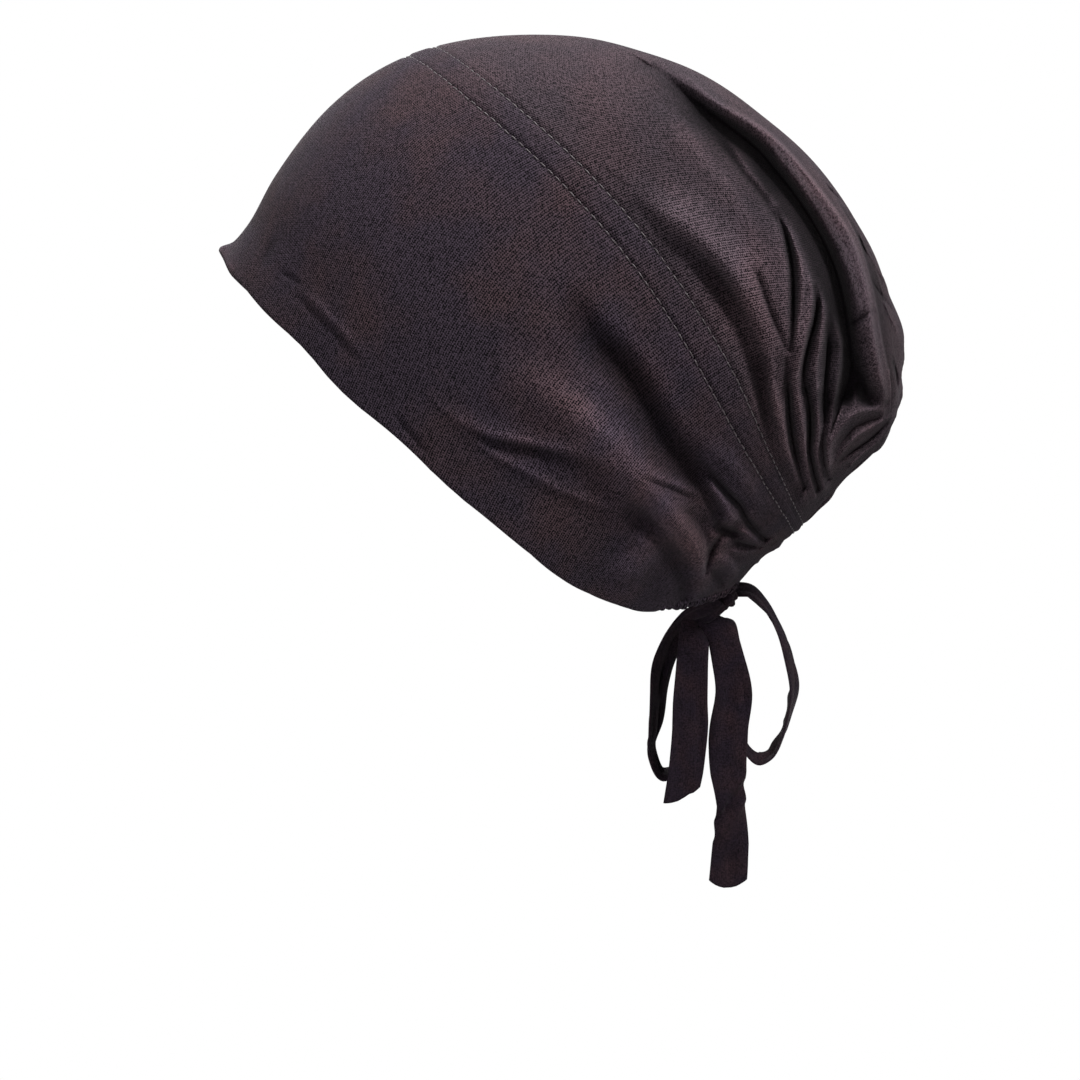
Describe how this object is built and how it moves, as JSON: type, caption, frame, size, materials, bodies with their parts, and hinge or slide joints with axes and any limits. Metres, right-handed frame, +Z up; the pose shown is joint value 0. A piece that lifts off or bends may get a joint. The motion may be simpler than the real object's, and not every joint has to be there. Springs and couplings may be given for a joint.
{
  "type": "hijab underscarf cap",
  "caption": "Soft jersey underscarf bonnet: a smooth band round the face, a slouchy gathered crown behind a topstitched seam and flat ties in a bow under the nape.",
  "frame": {"origin": "the inside of the crown at its highest point on the centre line, where the cap rests on the top of the head", "axes": "+Z up, -Y towards the face opening, +X towards the wearer's left"},
  "size_m": [0.1588, 0.2066, 0.2675],
  "materials": {
    "band_jersey": "fine doubled jersey, dark plum charcoal",
    "strip_jersey": "fine jersey, sewn flat",
    "crown_jersey": "fine jersey with a soft sheen",
    "tie_jersey": "fine jersey ribbon"
  },
  "bodies": {
    "root": {"front_band": "band_jersey", "nape_casing": "band_jersey", "seam_strip": "strip_jersey", "crown_bag": "crown_jersey", "bow_knot": "tie_jersey", "tie_left": "tie_jersey", "tie_right": "tie_jersey"}
  },
  "joints": []
}
